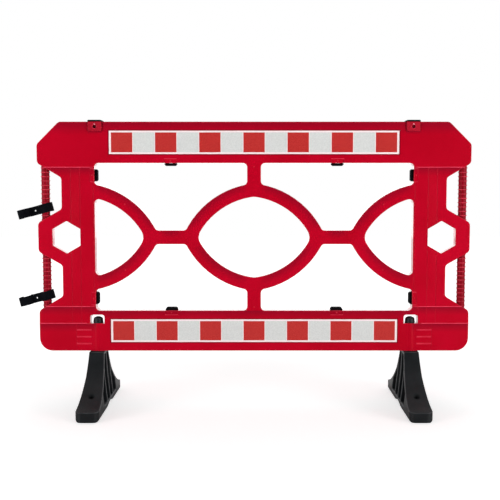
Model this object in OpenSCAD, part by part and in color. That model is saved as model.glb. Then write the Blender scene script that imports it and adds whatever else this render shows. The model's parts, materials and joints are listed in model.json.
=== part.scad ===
// Pedestrian barrier panel: two moulded half shells clipped together round two ribbed hinge bars.
// It stands on two turning feet, and carries two hook-on connectors on its left bar.
// Millimetres. X runs along the panel, the front faces -Y, and +Z is up from the floor.

/* [Panel] */
// Width of the panel over its side blocks
panel_w = 1500; // [1440:10:1700]
// Height of the moulded panel
panel_h = 797; // [780:1:860]
// Thickness of the closed panel at its beams
panel_t = 42; // [42:1:52]
// Gap between the floor and the panel's underside
ground_gap = 196; // [180:1:225]
// Wall thickness of the mouldings
wall = 3.2; // [2.6:0.1:4]
// Height of the top and bottom beams
beam_h = 142; // [134:1:150]
// Size of the sloping cut across each top corner
top_chamfer = 77; // [50:1:90]
// Radius of the two bottom corners
bottom_r = 45; // [25:1:60]
// Rounding of the outer corners of the side blocks
block_r = 18; // [8:1:20]
// Fillet in the corners of the openings
window_r = 14; // [8:1:16]

/* [Side blocks] */
// Distance from the post's inner edge to the side of the panel
side_w = 198; // [190:1:215]
// Width of each side post
post_w = 115; // [100:1:125]
// Rise of the sloping shoulders above and below the bar windows
shoulder_h = 50; // [35:1:60]
// Size of the hexagonal hand hole across its flats
hex_flat = 98; // [80:1:104]
// Width of the rim between the hand hole and the side of the panel
hex_rim = 50; // [46:1:56]
// Width of the rim along the hand hole's sloping edges
hex_slope_rim = 44; // [36:1:50]
// Height of one riser on the stepped face of the post
face_riser = 0.8; // [0.4:0.1:1]

/* [Lattice] */
// Gap between the beams and the bands round the eyes
eye_drop = 70; // [66:0.5:80]
// Width of the bands round the eyes
band_w = 46; // [42:1:52]
// Distance of each arc's centre beyond the panel's mid-height
eye_offset = 111; // [100:1:120]
// Distance of each arc's centre beyond the middle of its eye
eye_shift = 30; // [20:1:40]
// Rounding of the tips of the eyes
eye_tip_r = 40; // [20:1:45]
// Distance from the post's inner edge back to the centre of the half eye beside it
eye_setback = 25; // [10:1:40]
// Width of the centre posts above and below the middle eye
centre_post_w = 48; // [40:1:60]
// Height of the cross bars between the eyes
cross_bar_h = 48; // [40:1:56]

/* [Hinge bars] */
// Diameter of the hinge bars over their ribs
bar_d = 31; // [27:0.5:32]
// Distance from the bar's axis to the side of the panel
bar_inset = 25; // [23:0.5:28]
// Distance from one rib of the bar to the next
rib_pitch = 15; // [12:0.5:22]
// Length of one rib along the bar
rib_l = 4; // [2:0.5:6]
// Height of the ribs above the bar's core
rib_h = 1.4; // [0.8:0.1:2]
// Length of bar held inside each beam
bar_grip = 60; // [45:1:75]

/* [Feet] */
// Distance from the foot's axis to the side of the panel
foot_inset = 202; // [196:1:208]
// Length of each foot on the floor
foot_l = 500; // [460:5:560]
// Width of the foot at the floor
foot_base_w = 79; // [74:1:95]
// Width of the foot at half its height
foot_mid_w = 61; // [56:1:68]
// Width of the foot under the panel
foot_top_w = 52; // [46:1:56]
// Length of the foot's top under the panel
foot_top_l = 84; // [70:1:100]
// Height of the foot's end faces
foot_end_h = 34; // [26:1:40]
// Rounding of the foot's corners along the floor
foot_corner_r = 12; // [6:1:14]
// Rounding of the foot's ends, seen from above
foot_toe_r = 22; // [12:1:30]
// Radius of the hollow curve along the foot's back
foot_flank_r = 250; // [235:1:400]
// Thickness of the flange round the foot's side recesses
foot_flange = 10; // [7:0.5:14]
// Thickness of the web between the side recesses
foot_web = 18; // [12:1:26]
// Thickness of the ribs across the side recesses
foot_rib_t = 8; // [5:0.5:12]
// Length of the shallow arch under the foot
foot_arch_l = 150; // [100:5:170]
// Height of the shallow arch under the foot
foot_arch_h = 16; // [8:0.5:20]
// Diameter of the ground anchor holes
anchor_d = 18; // [12:1:22]
// Distance of the anchor holes from the foot's axis
anchor_reach = 152; // [140:1:180]
// Height of the spot faces round the anchor holes
anchor_seat_h = 56; // [45:1:58]
// Width of the spot face beyond the anchor hole
anchor_seat_w = 3; // [2:0.5:5]
// Thickness of the wall between the spot faces and the side recesses
anchor_wall = 10; // [6:0.5:16]
// Diameter of the spigot that turns in the panel
spigot_d = 30.6; // [26:0.2:32]
// Diameter of the spigot's head
head_d = 35.6; // [33:0.2:38]
// Height of the spigot's head
head_h = 22; // [16:1:25]

/* [Foot sleeves] */
// Height of the sleeve that the spigot turns in
sleeve_h = 97; // [90:1:100]
// Outer diameter of the sleeve
sleeve_d = 46; // [42:1:50]
// Width of the window above the sleeve
foot_window_w = 49; // [44:1:54]
// Height of the window above the sleeve
foot_window_h = 30; // [28:1:32]
// Corner radius at the top of that window
foot_window_r = 9; // [4:1:12]

/* [Connectors] */
// Outer diameter of the connector's rings
ring_d = 51; // [48:1:54]
// Bore of the connector's rings
ring_bore = 41; // [41:0.5:43]
// Width of the mouth in each ring
ring_mouth = 27; // [20:1:30]
// Distance between the axes of the two rings
ring_pitch = 75; // [64:1:82]
// Height of the connector
connector_h = 31; // [24:1:31]
// Thickness of the web between the rings
connector_web = 12; // [8:1:18]
// Diameter of the hole through that web
web_hole_d = 6.4; // [4:0.2:8]
// Angle by which the connectors droop on the bar
droop = 14.5; // [10:0.5:14.5]

/* [Clips] */
// Length of the clips on the rims of the windows
clip_l = 42; // [36:1:43]
// Height of those clips above the rim
clip_h = 9.5; // [7:0.5:12]
// Width of the clips across the panel
clip_w = 26; // [24:1:32]
// Distance from the beam's edge to the middle of a clip on the post
clip_drop = 42; // [41:1:43]
// Thickness of the prongs
prong_t = 3; // [2:0.2:4]
// Length of each prong along the rim
prong_l = 9; // [6:0.5:10]
// Depth of the prongs below the rim
prong_depth = 12; // [9:0.5:15]
// Height of the barb on each prong
barb_h = 1.2; // [0.6:0.1:1.6]
// Length of the shallow seat in the face beyond each end of a clip
seat_margin = 1.5; // [0.5:0.5:3]
// Width of that seat, from the rim
seat_w = 15; // [12:1:18]
// Depth of that seat below the beam's face
seat_depth = 1.6; // [1.2:0.1:1.8]
// Width of the tabs at the top edge
tab_w = 48; // [44:1:56]
// Height of those tabs
tab_h = 33; // [28:1:38]
// How far the tabs stand proud of the beams
tab_t = 6; // [4:0.5:8]
// Height of the clips on the top edge
top_clip_h = 5.5; // [4:0.5:8]
// Diameter of the fixing hole in each tab
fixing_d = 12; // [8:0.5:13]
// Distance of the fixing hole from the top edge
fixing_drop = 17; // [16:1:18]

/* [Strips] */
// Distance from the end of a strip to the axis of the foot beside it
strip_gap = 48; // [43:1:90]
// Height of the reflective strips
strip_h = 80; // [60:1:90]
// Thickness of the reflective strips
strip_t = 0.6; // [0.4:0.1:0.9]
// Depth of the recess that a strip lies in
strip_recess = 1; // [1:0.1:1.4]
// Margin of the recess round the strip
strip_margin = 4; // [2:0.5:6]

/* [Hidden] */
// Gap between pieces that seat on or turn in each other
clearance = 0.3;
// Overrun of cuts past the faces that they cut
overrun = 1;
// Thickness of the webs inside the shells
inner_web_t = 2.6;
// Thickness of the raised lines on the bottom blocks
line_t = 2.6;
// Length of the raised lines on the bottom blocks
line_l = 52;
// Width of the first step on the post, at the rim of the windows
step_margin = 4;
// Distance between the second and third step on the post
step_band_w = 32;
// Distance from the beam's edge to the steps across the post
step_drop = 14;
// Rounding of the hand hole's corners
hex_r = 5;
// Number of raised lines on each bottom block
line_count = 3;
// Facets of the large arcs
arc_facets = 72;
// Angle between the faces of a hexagon and its corners
hex_angle = 30;
// Spacing of the inner webs as a share of the eye pitch
web_share = 0.3;
// Width of a bar rib's crest as a share of its foot
rib_crest_share = 0.5;
// Spacing of the foot's ribs as a share of its recess
foot_rib_share = 0.23;
// Radius of the head's dome as a share of its diameter
dome_share = 0.66;
// Diameter at the top of the head as a share of its base
head_top_share = 0.86;
// Bevel at the ends of a clip as a share of its height
clip_bevel_share = 0.5;
$fn = 32;

half_w = panel_w / 2;
half_h = panel_h / 2;
half_t = panel_t / 2;
mid_z = ground_gap + half_h;
open_half = half_h - beam_h;
post_in = half_w - side_w;
post_out = post_in + post_w;
eye_pitch = post_in + eye_setback;
eye_r = norm([eye_shift, open_half - eye_drop - band_w + eye_offset]);
hex_x = half_w - hex_rim - hex_flat / 2;
hex_half = hex_flat / 2 + hex_slope_rim;
hex_peak = hex_half / cos(hex_angle);
hex_side = hex_peak - (half_w - hex_x) * tan(hex_angle);
bar_x = half_w - bar_inset;
bar_r = bar_d / 2;
bar_half = open_half + bar_grip;
foot_x = half_w - foot_inset;
foot_top = ground_gap - clearance;
foot_recess_l = 2 * (anchor_reach - anchor_d / 2 - anchor_seat_w - anchor_wall);
sleeve_top = ground_gap + sleeve_h;
step_half = open_half - step_drop;
step_x = [post_in + step_margin, hex_x - hex_flat / 2, hex_x - hex_flat / 2 + step_band_w];
strip_l = 2 * (foot_x - strip_gap);
strip_z = [mid_z + half_h - beam_h / 2, mid_z - half_h + beam_h / 2];
prong_x = clip_l / 2 - prong_l;
prong_y = clip_w / 2 - prong_t - barb_h;

// The connectors hang just above the shoulders, clear of them as they swing
ring_r = ring_d / 2;
ring_reach = bar_x - ring_r;
hang = cos(droop) * connector_h / 2 + sin(droop) * ring_r;
upper_shoulder_z = mid_z + hex_peak - (ring_reach - hex_x) * tan(hex_angle);
lower_shoulder_z = mid_z - open_half + shoulder_h * (half_w - ring_reach) / (half_w - post_out);
connector_z = [upper_shoulder_z + hang, lower_shoulder_z + hang];

// The frame's X origin lies midway between the connectors' far ends and the right side
connector_reach = bar_x + cos(droop) * (ring_pitch + ring_r) + sin(droop) * connector_h / 2;
frame_shift = (connector_reach - half_w) / 2;

// Places of the clips: X, Z and the turn about Y that points a clip away from its rim
top_spots = [for (side = [-1, 1]) [side * foot_x, mid_z + half_h, 0]];
beam_upper_spots = [for (side = [-1, 1]) [side * eye_pitch / 2, mid_z + open_half, 180]];
beam_lower_spots = [for (side = [-1, 1]) [side * eye_pitch / 2, mid_z - open_half, 0]];
post_upper_spots = [for (side = [-1, 1]) [side * post_in, mid_z + open_half - clip_drop, -90 * side]];
post_lower_spots = [for (side = [-1, 1]) [side * post_in, mid_z - open_half + clip_drop, -90 * side]];
rim_spots = concat(beam_upper_spots, beam_lower_spots, post_upper_spots, post_lower_spots);

// A pointed lens between four arcs, whose centres lie beyond its middle both ways
module lens(r) {
    intersection_for (side = [-1, 1])
        intersection_for (up = [-1, 1])
            translate([side * eye_shift, up * eye_offset])
                circle(r, $fn = arc_facets);
}

// The opening of an eye, with round tips
module eye_opening() {
    offset(r = eye_tip_r)
        offset(delta = -eye_tip_r)
            lens(eye_r);
}

// The panel's outer limits: cut top corners and round bottom corners
module panel_bounds() {
    intersection() {
        polygon([
            [-half_w, -half_h], [half_w, -half_h],
            [half_w, half_h - top_chamfer], [half_w - top_chamfer, half_h],
            [-half_w + top_chamfer, half_h], [-half_w, half_h - top_chamfer]
        ]);
        union() {
            translate([-half_w, 0])
                square([panel_w, half_h]);
            offset(r = bottom_r)
                square([panel_w - 2 * bottom_r, panel_h - 2 * bottom_r], center = true);
        }
    }
}

// One side of the panel: post, sloping shoulders and the block round the hand hole
module side_block() {
    translate([post_in, -half_h])
        square([post_w, panel_h]);
    for (up = [0, 1])
        mirror([0, up])
            polygon([[post_in, open_half], [half_w, open_half], [post_out, open_half - shoulder_h],
                     [post_in, open_half - shoulder_h]]);
    polygon([[hex_x, hex_peak], [half_w, hex_side], [half_w, -hex_side], [hex_x, -hex_peak]]);
}

// The middle eye, the half eyes beside the posts, and the bars that tie them together
module lattice() {
    intersection() {
        square([2 * post_in + post_w, panel_h], center = true);
        difference() {
            union() {
                for (i = [-1 : 1])
                    translate([i * eye_pitch, 0])
                        lens(eye_r + band_w);
                square([2 * post_out, cross_bar_h], center = true);
                square([centre_post_w, panel_h], center = true);
            }
            for (i = [-1 : 1])
                translate([i * eye_pitch, 0])
                    eye_opening();
        }
    }
}

// The whole outline of the panel, with filleted openings
module panel_outline() {
    difference() {
        offset(r = block_r)
            offset(r = -block_r - window_r)
                offset(delta = window_r)
                    intersection() {
                        panel_bounds();
                        union() {
                            for (up = [0, 1])
                                mirror([0, up])
                                    translate([-half_w, open_half])
                                        square([panel_w, beam_h]);
                            for (side = [0, 1])
                                mirror([side, 0])
                                    side_block();
                            lattice();
                        }
                    }
        for (side = [-1, 1]) {
            translate([side * hex_x, 0])
                rotate(hex_angle)
                    offset(r = hex_r)
                        circle((hex_flat / 2 - hex_r) / cos(hex_angle), $fn = 6);
            translate([side * foot_x, sleeve_h - half_h])
                foot_window();
        }
    }
}

// The window above the sleeve, with round top corners
module foot_window() {
    intersection() {
        translate([-foot_window_w / 2, 0])
            square([foot_window_w, foot_window_h]);
        translate([0, foot_window_r - foot_window_h])
            offset(r = foot_window_r)
                translate([foot_window_r - foot_window_w / 2, 0])
                    square([foot_window_w - 2 * foot_window_r, 2 * (foot_window_h - foot_window_r)]);
    }
}

// A drawing in the panel's plane, about its mid-height, made a slab between two depths
module slab(front, back) {
    translate([0, back, mid_z])
        rotate([90, 0, 0])
            linear_extrude(back - front)
                children();
}

// One half of the closed panel, with every outer face moved in by inset
module half_form(inset) {
    difference() {
        slab(inset - half_t, inset > 0 ? overrun : 0)
            offset(delta = -inset)
                panel_outline();
        for (side = [0, 1])
            mirror([side, 0, 0])
                face_steps(inset);
    }
}

// Room in front of the stepped face of a post and of the block below it
module face_steps(inset) {
    for (i = [0 : len(step_x) - 1])
        face_cut(step_x[i] - inset, -step_half - inset, 2 * (step_half + inset),
                 (i + 1) * face_riser + inset);
    low = sleeve_h - half_h;
    face_cut(foot_x + foot_window_w / 2 - inset, low - inset, -step_half - low + inset, face_riser + inset);
}

// A shallow cut in the front face, from x to the side of the panel
module face_cut(x, z, h, depth) {
    translate([x, -half_t - overrun, mid_z + z])
        cube([half_w + overrun - x, depth + overrun, h]);
}

// The round seats inside a half shell: bar sockets and spigot sleeves, closed or as bores
module round_seats(bored) {
    gap = bored ? clearance : clearance + wall;
    for (side = [-1, 1]) {
        translate([side * bar_x, 0, mid_z])
            if (bored)
                cylinder(2 * (bar_half + gap), r = bar_r + gap, center = true);
            else
                for (up = [0, 1])
                    mirror([0, 0, up])
                        translate([0, 0, bar_half - bar_grip / 2])
                            cylinder(bar_grip / 2 + gap, r = bar_r + gap);
        translate([side * foot_x, 0, ground_gap - (bored ? overrun : 0)])
            if (bored)
                cylinder(sleeve_h + 2 * overrun, r = spigot_d / 2 + gap);
            else
                cylinder(sleeve_h, d = sleeve_d);
    }
}

// Everything in front of the panel's mid-plane
module front_half() {
    intersection() {
        children();
        translate([-panel_w, -panel_t, 0])
            cube([2 * panel_w, panel_t, ground_gap + 2 * panel_h]);
    }
}

// Cross webs that stiffen the beams and posts inside
module inner_webs() {
    depth = half_t - wall / 2;
    for (z = strip_z, i = [-2 : 2])
        translate([i * eye_pitch * web_share - inner_web_t / 2, -depth, z - beam_h / 2 + wall / 2])
            cube([inner_web_t, depth, beam_h - wall]);
    post_depth = depth - len(step_x) * face_riser;
    for (side = [0, 1], up = [-1, 1])
        mirror([side, 0, 0])
            translate([post_in + wall / 2, -post_depth, mid_z + up * (hex_peak + open_half) / 2])
                cube([post_w - wall, post_depth, inner_web_t]);
}

// The raised lines beside the sleeves
module face_lines() {
    for (side = [0, 1], i = [1 : line_count])
        mirror([side, 0, 0])
            translate([foot_x + sleeve_d / 2 - line_t, -half_t - face_riser,
                       ground_gap + i * sleeve_h / (line_count + 1)])
                cube([line_l, face_riser + wall / 2, line_t]);
}

// One moulded half of the panel, seen as the front half
module half_shell() {
    difference() {
        union() {
            difference() {
                half_form(0);
                half_form(wall);
            }
            front_half()
                round_seats(false);
            inner_webs();
            face_lines();
        }
        round_seats(true);
        for (spot = concat(top_spots, rim_spots))
            at_rim(spot)
                prong_slots();
        for (spot = rim_spots)
            at_rim(spot)
                clip_seat();
        for (spot = top_spots)
            at_rim(spot)
                at_fixing()
                    cylinder(tab_t + wall + overrun, d = fixing_d + 2 * clearance);
        for (z = strip_z)
            translate([-strip_l / 2 - strip_margin, -half_t - overrun, z - strip_h / 2 - strip_margin])
                cube([strip_l + 2 * strip_margin, strip_recess + overrun, strip_h + 2 * strip_margin]);
    }
}

// Puts a clip, or the slots for one, at its place on a rim
module at_rim(spot) {
    translate([spot[0], 0, spot[1]])
        rotate([0, spot[2], 0])
            children();
}

// The slots in the rim for the prongs of one clip
module prong_slots() {
    for (x = [-1, 1], y = [-1, 1])
        translate([x * prong_x, y * prong_y, -wall / 2])
            cube([prong_l + 2 * clearance, prong_t + 2 * clearance, wall + 2 * overrun], center = true);
}

// The shallow seat in the face beside a clip
module clip_seat() {
    translate([-clip_l / 2 - seat_margin, -half_t - overrun, -seat_w])
        cube([clip_l + 2 * seat_margin, seat_depth + overrun, seat_w + overrun]);
}

// Puts something on the axis of a fixing hole, from the tab's front face inwards
module at_fixing() {
    translate([0, -half_t - tab_t, -fixing_drop])
        rotate([-90, 0, 0])
            children();
}

// A tab on the beam's face, bored in line with a hole through the shell's wall
module fixing_tab() {
    difference() {
        translate([-tab_w / 2, -half_t - tab_t, -tab_h])
            cube([tab_w, tab_t, tab_h]);
        at_fixing()
            translate([0, 0, -overrun])
                cylinder(tab_t + 2 * overrun, d = fixing_d);
    }
}

// A clip: a bevelled cap on the rim, with four barbed prongs through the rim
module clip(length, width, height) {
    bevel = height * clip_bevel_share;
    translate([0, width / 2, clearance])
        rotate([90, 0, 0])
            linear_extrude(width)
                polygon([
                    [-length / 2, 0], [length / 2, 0],
                    [length / 2, height - bevel], [length / 2 - bevel, height],
                    [bevel - length / 2, height], [-length / 2, height - bevel]
                ]);
    for (x = [-1, 1], y = [0, 1])
        mirror([0, y, 0])
            translate([x * prong_x - prong_l / 2, prong_y, clearance])
                rotate([90, 0, 90])
                    linear_extrude(prong_l)
                        prong_profile(height / 2);
}

// Outline of a prong across its width, from its root, with the barb facing out behind the rim
module prong_profile(root) {
    catch = -wall - 2 * clearance;
    polygon([
        [-prong_t / 2, root], [prong_t / 2, root], [prong_t / 2, catch],
        [prong_t / 2 + barb_h, catch], [prong_t / 2, -prong_depth], [-prong_t / 2, -prong_depth]
    ]);
}

// A ribbed round bar, turned about its axis
module hinge_bar() {
    core_r = bar_r - rib_h;
    rib_count = floor((2 * bar_half - rib_l) / rib_pitch);
    rib_z = [for (i = [0 : rib_count - 1]) (i - (rib_count - 1) / 2) * rib_pitch];
    ribs = [for (z = rib_z, corner = [[0, -1], [rib_h, -rib_crest_share], [rib_h, rib_crest_share], [0, 1]])
        [core_r + corner[0], z + corner[1] * rib_l / 2]];
    rotate_extrude()
        polygon(concat([[0, -bar_half], [core_r, -bar_half]], ribs, [[core_r, bar_half], [0, bar_half]]));
}

// A double ring with mouths at the back, drooping on the bar that it hangs from
module connector(z) {
    translate([-bar_x, 0, z])
        rotate([0, -droop, 0])
            difference() {
                union() {
                    for (x = [0, -ring_pitch])
                        translate([x, 0, 0])
                            cylinder(connector_h, d = ring_d, center = true);
                    translate([-ring_pitch, -connector_web / 2, -connector_h / 2])
                        cube([ring_pitch, connector_web, connector_h]);
                }
                for (x = [0, -ring_pitch])
                    translate([x, 0, 0]) {
                        cylinder(connector_h + 2 * overrun, d = ring_bore, center = true);
                        translate([-ring_mouth / 2, 0, -connector_h / 2 - overrun])
                            cube([ring_mouth, ring_d, connector_h + 2 * overrun]);
                    }
                translate([-ring_pitch / 2, 0, 0])
                    rotate([90, 0, 0])
                        cylinder(connector_web + 2 * overrun, d = web_hole_d, center = true);
            }
}

// Centre of the hollow curve through the foot's top edge and the top of its end face
function flank_centre() =
    let (
        top = [foot_top_l / 2, foot_top],
        end = [foot_l / 2, foot_end_h],
        chord = end - top,
        reach = sqrt(pow(foot_flank_r, 2) - pow(norm(chord) / 2, 2))
    )
    (top + end) / 2 + reach * [-chord[1], chord[0]] / norm(chord);

// Side outline of the foot, moved in by inset from its curved back
module foot_side(inset) {
    centre = flank_centre();
    difference() {
        translate([-foot_l / 2, 0])
            square([foot_l, foot_top]);
        for (side = [-1, 1])
            translate([side * centre[0], centre[1]])
                circle(foot_flank_r + inset);
    }
}

// Circle under the foot that leaves the shallow arch
module foot_arch() {
    r = (pow(foot_arch_l / 2, 2) + pow(foot_arch_h, 2)) / (2 * foot_arch_h);
    translate([0, foot_arch_h - r])
        circle(r);
}

// A side outline of the foot, made a block across its width
module across(width) {
    translate([-width / 2, 0, 0])
        rotate([90, 0, 90])
            linear_extrude(width)
                children();
}

// The recess in one side of the foot, with ribs left standing in it
module foot_recess() {
    across_w = (foot_base_w - foot_web) / 2;
    floor_z = foot_arch_h + foot_flange;
    translate([(foot_web + across_w) / 2, 0, 0])
        across(across_w)
            difference() {
                intersection() {
                    foot_side(foot_flange);
                    translate([-foot_recess_l / 2, floor_z])
                        square([foot_recess_l, foot_top - foot_flange - floor_z]);
                }
                for (i = [-1 : 1])
                    translate([i * foot_recess_l * foot_rib_share - foot_rib_t / 2, 0])
                        square([foot_rib_t, foot_top]);
            }
}

// A block as wide as the foot's base, with corners of radius r
module foot_block(length, low, r) {
    offset(r = r)
        translate([r - foot_base_w / 2, low + r])
            square([foot_base_w - 2 * r, length - 2 * r]);
}

// Front outline of the foot: upright at the floor, then narrowing to the panel
module foot_front() {
    mid_h = (foot_end_h + foot_top) / 2;
    intersection() {
        polygon([
            [-foot_base_w / 2, 0], [foot_base_w / 2, 0],
            [foot_base_w / 2, foot_end_h], [foot_mid_w / 2, mid_h], [foot_top_w / 2, foot_top],
            [-foot_top_w / 2, foot_top], [-foot_mid_w / 2, mid_h], [-foot_base_w / 2, foot_end_h]
        ]);
        foot_block(2 * foot_top, 0, foot_corner_r);
    }
}

// A foot with its spigot and head, about its own turning axis
module foot() {
    difference() {
        intersection() {
            across(foot_base_w)
                difference() {
                    foot_side(0);
                    foot_arch();
                }
            translate([0, foot_l / 2, 0])
                rotate([90, 0, 0])
                    linear_extrude(foot_l)
                        foot_front();
            linear_extrude(foot_top)
                foot_block(foot_l, -foot_l / 2, foot_toe_r);
        }
        for (side = [0, 1])
            mirror([side, 0, 0])
                foot_recess();
        for (side = [-1, 1])
            translate([0, side * anchor_reach, 0]) {
                translate([0, 0, -overrun])
                    cylinder(foot_top, d = anchor_d);
                translate([0, 0, anchor_seat_h])
                    cylinder(foot_top, d = anchor_d + 2 * anchor_seat_w);
            }
    }
    translate([0, 0, foot_top - foot_flange])
        cylinder(sleeve_top + clearance + head_h / 2 - foot_top + foot_flange, d = spigot_d);
    translate([0, 0, sleeve_top + clearance])
        spigot_head();
}

// The spigot's head: a short cone under a flat dome
module spigot_head() {
    dome_r = head_d * dome_share;
    intersection() {
        cylinder(head_h, d1 = head_d, d2 = head_d * head_top_share);
        translate([0, 0, head_h - dome_r])
            sphere(dome_r);
    }
}

// A reflective strip lying in the recess of a beam's front face
module strip(z) {
    translate([-strip_l / 2, strip_recess - half_t - strip_t, z - strip_h / 2])
        cube([strip_l, strip_t, strip_h]);
}

module front_shell() {
    color("crimson")
        half_shell();
}

module rear_shell() {
    color("crimson")
        rotate([0, 0, 180])
            half_shell();
}

module side_bar(side) {
    color("firebrick")
        translate([side * bar_x, 0, mid_z])
            hinge_bar();
}

module placed_foot(side) {
    color("darkslategray")
        translate([side * foot_x, 0, 0])
            foot();
}

module placed_connector(z) {
    color("black")
        connector(z);
}

module top_clip(spot) {
    color("black")
        at_rim(spot)
            clip(tab_w, panel_t + 2 * tab_t, top_clip_h);
}

module placed_tab(turn, spot) {
    color("crimson")
        rotate([0, 0, turn])
            at_rim(spot)
                fixing_tab();
}

module rim_clip(spot) {
    color("black")
        at_rim(spot)
            clip(clip_l, clip_w, clip_h);
}

module placed_strip(turn, z) {
    color("white")
        rotate([0, 0, turn])
            strip(z);
}

translate([frame_shift, 0, 0]) {
    front_shell();
    rear_shell();
    side_bar(-1);  // hinge_bar_left
    side_bar(1);  // hinge_bar_right
    placed_foot(-1);  // foot_left
    placed_foot(1);  // foot_right
    placed_connector(connector_z[0]);  // connector_upper
    placed_connector(connector_z[1]);  // connector_lower
    top_clip(top_spots[0]);  // top_clip_left
    top_clip(top_spots[1]);  // top_clip_right
    placed_tab(0, top_spots[0]);  // fixing_tab_front_left
    placed_tab(0, top_spots[1]);  // fixing_tab_front_right
    placed_tab(180, top_spots[1]);  // fixing_tab_rear_left
    placed_tab(180, top_spots[0]);  // fixing_tab_rear_right
    rim_clip(beam_upper_spots[0]);  // clip_beam_upper_left
    rim_clip(beam_upper_spots[1]);  // clip_beam_upper_right
    rim_clip(beam_lower_spots[0]);  // clip_beam_lower_left
    rim_clip(beam_lower_spots[1]);  // clip_beam_lower_right
    rim_clip(post_upper_spots[0]);  // clip_post_upper_left
    rim_clip(post_upper_spots[1]);  // clip_post_upper_right
    rim_clip(post_lower_spots[0]);  // clip_post_lower_left
    rim_clip(post_lower_spots[1]);  // clip_post_lower_right
    placed_strip(0, strip_z[0]);  // strip_front_upper
    placed_strip(0, strip_z[1]);  // strip_front_lower
    placed_strip(180, strip_z[0]);  // strip_rear_upper
    placed_strip(180, strip_z[1]);  // strip_rear_lower
}
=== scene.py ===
# %% [markdown]
# # A pedestrian barrier panel
# The real panel is two half shells of red polyethylene, clipped together round two ribbed bars. It stands on two
# black feet, and carries two connectors on its left bar and two strips of reflective sheeting on each face. The
# CAD frame already gives every solid its place, so this lesson gives each one soft moulded edges, a finish and
# its small details.

# %% Load the frame
import functools
import json
import math

import bmesh
import bpy
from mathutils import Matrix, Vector


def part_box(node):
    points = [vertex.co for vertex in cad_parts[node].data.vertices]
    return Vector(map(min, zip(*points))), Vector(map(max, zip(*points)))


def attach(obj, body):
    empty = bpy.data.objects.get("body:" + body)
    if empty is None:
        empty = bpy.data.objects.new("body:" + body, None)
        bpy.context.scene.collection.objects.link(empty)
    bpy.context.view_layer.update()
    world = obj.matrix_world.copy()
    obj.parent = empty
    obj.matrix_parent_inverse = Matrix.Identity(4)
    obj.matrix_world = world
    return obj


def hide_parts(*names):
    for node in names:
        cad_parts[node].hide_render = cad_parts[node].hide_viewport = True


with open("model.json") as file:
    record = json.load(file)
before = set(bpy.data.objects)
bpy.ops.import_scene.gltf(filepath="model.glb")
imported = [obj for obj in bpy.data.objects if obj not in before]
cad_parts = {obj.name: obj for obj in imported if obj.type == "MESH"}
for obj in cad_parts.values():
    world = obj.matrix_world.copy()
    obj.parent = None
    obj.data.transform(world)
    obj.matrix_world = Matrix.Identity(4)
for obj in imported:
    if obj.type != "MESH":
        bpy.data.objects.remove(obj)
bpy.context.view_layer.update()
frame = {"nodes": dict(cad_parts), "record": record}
scene = bpy.context.scene
scene.view_settings.view_transform = "Standard"
MM = 0.001

# %% [markdown]
# ## Camera
# The picture was taken from about three metres, a little above the panel's mid-height and looking slightly down.
# The eye's height is kept above the panel's underside, so it follows the panel if its feet get taller. The lens
# comes from the panel's width in the picture and its distance, and a small shift centres the frame.

# %% Camera
shell_low, shell_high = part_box("front_shell")
panel_x = (shell_low.x + shell_high.x) / 2
panel_z = (shell_low.z + shell_high.z) / 2
camera_distance = 3133 * MM
eye_above_underside = 602 * MM
camera_pitch = math.radians(4.55)
focal_pixels = 898.5
frame_pixels = 500
centre_offset_pixels = 4.05

camera_data = bpy.data.cameras.new("photo_camera")
camera = bpy.data.objects.new("photo_camera", camera_data)
scene.collection.objects.link(camera)
camera.location = (panel_x, -camera_distance, shell_low.z + eye_above_underside)
camera.rotation_euler = (math.pi / 2 - camera_pitch, 0, 0)
camera_data.lens = camera_data.sensor_width * focal_pixels / frame_pixels
camera_data.shift_x = -centre_offset_pixels / frame_pixels
scene.camera = camera
print("lens:", round(camera_data.lens, 2), "mm")

# %% [markdown]
# ## Floor
# A studio picture like this one has a white sweep under the object. It could be one bent sheet, but a flat floor
# that runs into a white world needs no bend. The floor is pale paint that keeps the object's shadow. For the eye,
# and for gloss that sees the floor behind the panel, it also glows, less under the panel and more further out,
# so its far edge melts into the backdrop. The glow is only seen and lights nothing.

# %% Node helpers
def link(tree, start, end):
    tree.links.new(start, end)


def object_place(tree):
    return tree.nodes.new("ShaderNodeTexCoord").outputs["Object"]


def math_node(tree, operation, first, second):
    node = tree.nodes.new("ShaderNodeMath")
    node.operation = operation
    for socket, value in zip(node.inputs, (first, second)):
        if hasattr(value, "is_linked"):
            link(tree, value, socket)
        else:
            socket.default_value = value
    return node.outputs[0]


def ramp(tree, value, low, high, start=0.0, end=1.0, kind="SMOOTHSTEP"):
    node = tree.nodes.new("ShaderNodeMapRange")
    node.interpolation_type = kind
    link(tree, value, node.inputs["Value"])
    for label, number in (("From Min", low), ("From Max", high), ("To Min", start), ("To Max", end)):
        node.inputs[label].default_value = number
    return node.outputs[0]


def seen_by(tree, mask, under, over):
    node = tree.nodes.new("ShaderNodeMixShader")
    for socket, value in zip(node.inputs, (mask, under, over)):
        link(tree, value, socket)
    return node.outputs[0]


# %% Floor
floor_half = 9.0
floor_tone = (0.82, 0.82, 0.82, 1)
glow_reach = 0.7, 2.2
glow_strength = 0.58, 0.85
behind_panel = 0.3

floor_mesh = bpy.data.meshes.new("studio_floor")
corners = [(-1, -1), (1, -1), (1, 1), (-1, 1)]
floor_mesh.from_pydata([(x * floor_half, y * floor_half, 0) for x, y in corners], [], [(0, 1, 2, 3)])
studio_floor = bpy.data.objects.new("studio_floor", floor_mesh)
scene.collection.objects.link(studio_floor)

floor_material = bpy.data.materials.new("studio_floor")
floor_material.use_nodes = True
tree = floor_material.node_tree
tree.nodes.clear()
floor_place = object_place(tree)
floor_parts = tree.nodes.new("ShaderNodeSeparateXYZ")
link(tree, floor_place, floor_parts.inputs[0])
floor_way = tree.nodes.new("ShaderNodeVectorMath")
floor_way.operation = "LENGTH"
link(tree, floor_place, floor_way.inputs[0])

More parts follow.
